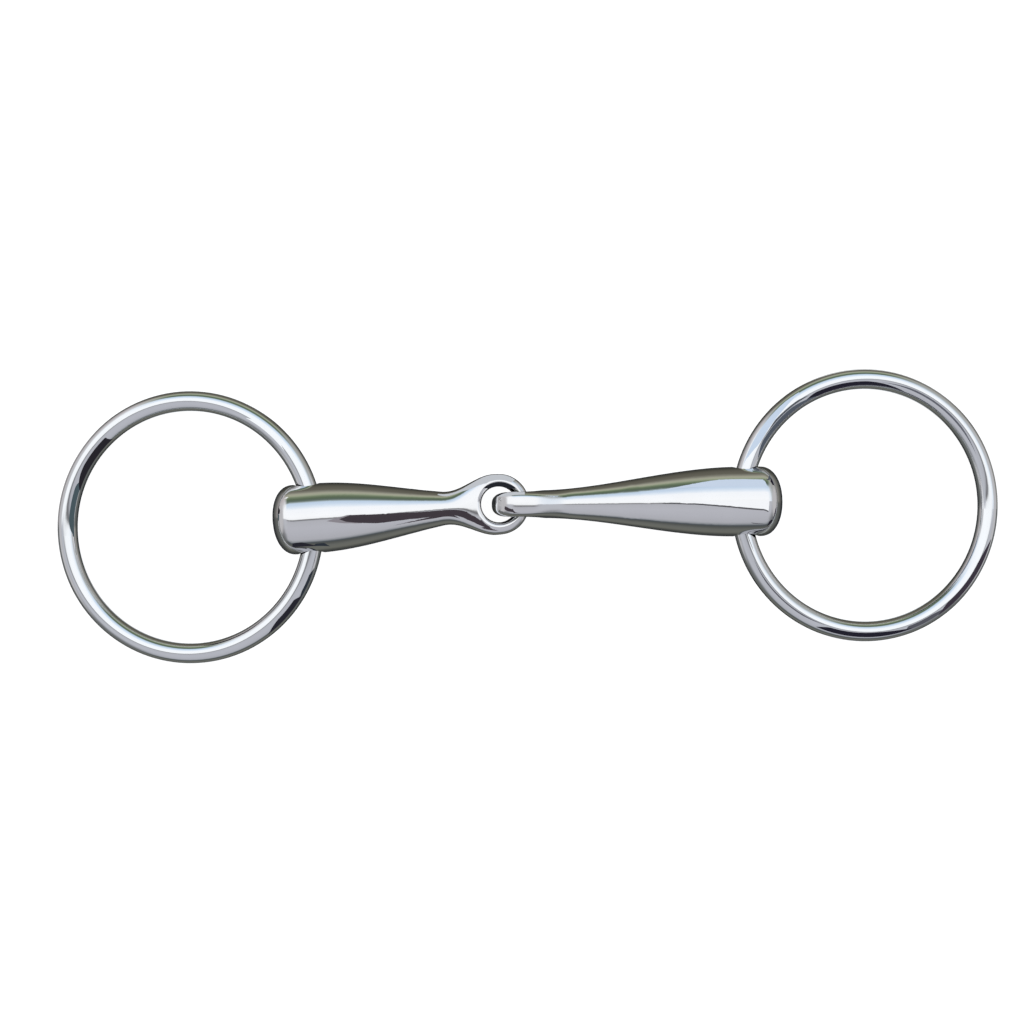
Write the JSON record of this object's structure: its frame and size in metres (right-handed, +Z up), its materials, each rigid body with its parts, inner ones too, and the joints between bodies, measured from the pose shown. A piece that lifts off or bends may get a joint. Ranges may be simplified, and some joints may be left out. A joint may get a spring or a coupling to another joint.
{
  "type": "snaffle bit",
  "caption": "Loose-ring snaffle bit for a horse: thick tapered hollow steel mouthpiece with a linked joint in the middle and a round wire ring running through each end.",
  "frame": {"origin": "on the surface the bit lies on, under the middle of the whole bit at rest", "axes": "+X along the mouthpiece towards the longer arm, +Y across it in the plane the rings lie in, +Z up"},
  "size_m": [0.285, 0.0898, 0.0212],
  "materials": {
    "mouthpiece_steel": "mirror-polished stainless steel",
    "ring_steel": "mirror-polished stainless steel wire",
    "sleeve_steel": "plain stainless steel tube, duller than the outside"
  },
  "bodies": {
    "left_cannon": {"left_cannon_shell": "mouthpiece_steel", "left_end_cap": "mouthpiece_steel", "left_eye": "mouthpiece_steel"},
    "left_sleeve": {"left_ring_sleeve": "sleeve_steel"},
    "left_loose_ring": {"left_ring": "ring_steel"},
    "right_cannon": {"right_cannon_shell": "mouthpiece_steel", "right_end_cap": "mouthpiece_steel", "right_eye": "mouthpiece_steel"},
    "right_sleeve": {"right_ring_sleeve": "sleeve_steel"},
    "right_loose_ring": {"right_ring": "ring_steel"}
  },
  "joints": [
    {"name": "mouthpiece_fold", "type": "hinge", "parent": "left_cannon", "child": "right_cannon", "pos_m": [-0.00162, 0.0035, 0.0091], "axis": [-0.0192, 0.9998, 0], "range_deg": [-135, 130]},
    {"name": "left_ring_swing", "type": "hinge", "parent": "left_cannon", "child": "left_sleeve", "pos_m": [-0.06526, -0.00115, 0.01061], "axis": [-0.0819, 0.9966, 0], "range_deg": [-150, 165]},
    {"name": "left_ring_spin", "type": "hinge", "parent": "left_sleeve", "child": "left_loose_ring", "pos_m": [-0.10173, -0.00396, 0.00687], "axis": [-0.1014, -0.0078, 0.9948], "continuous": true},
    {"name": "right_ring_swing", "type": "hinge", "parent": "right_cannon", "child": "right_sleeve", "pos_m": [0.06515, 0.00479, 0.01048], "axis": [0.0192, -0.9998, 0], "range_deg": [-150, 165]},
    {"name": "right_ring_spin", "type": "hinge", "parent": "right_sleeve", "child": "right_loose_ring", "pos_m": [0.10173, 0.00396, 0.0068], "axis": [0.1, -0.0023, 0.995], "continuous": true}
  ]
}
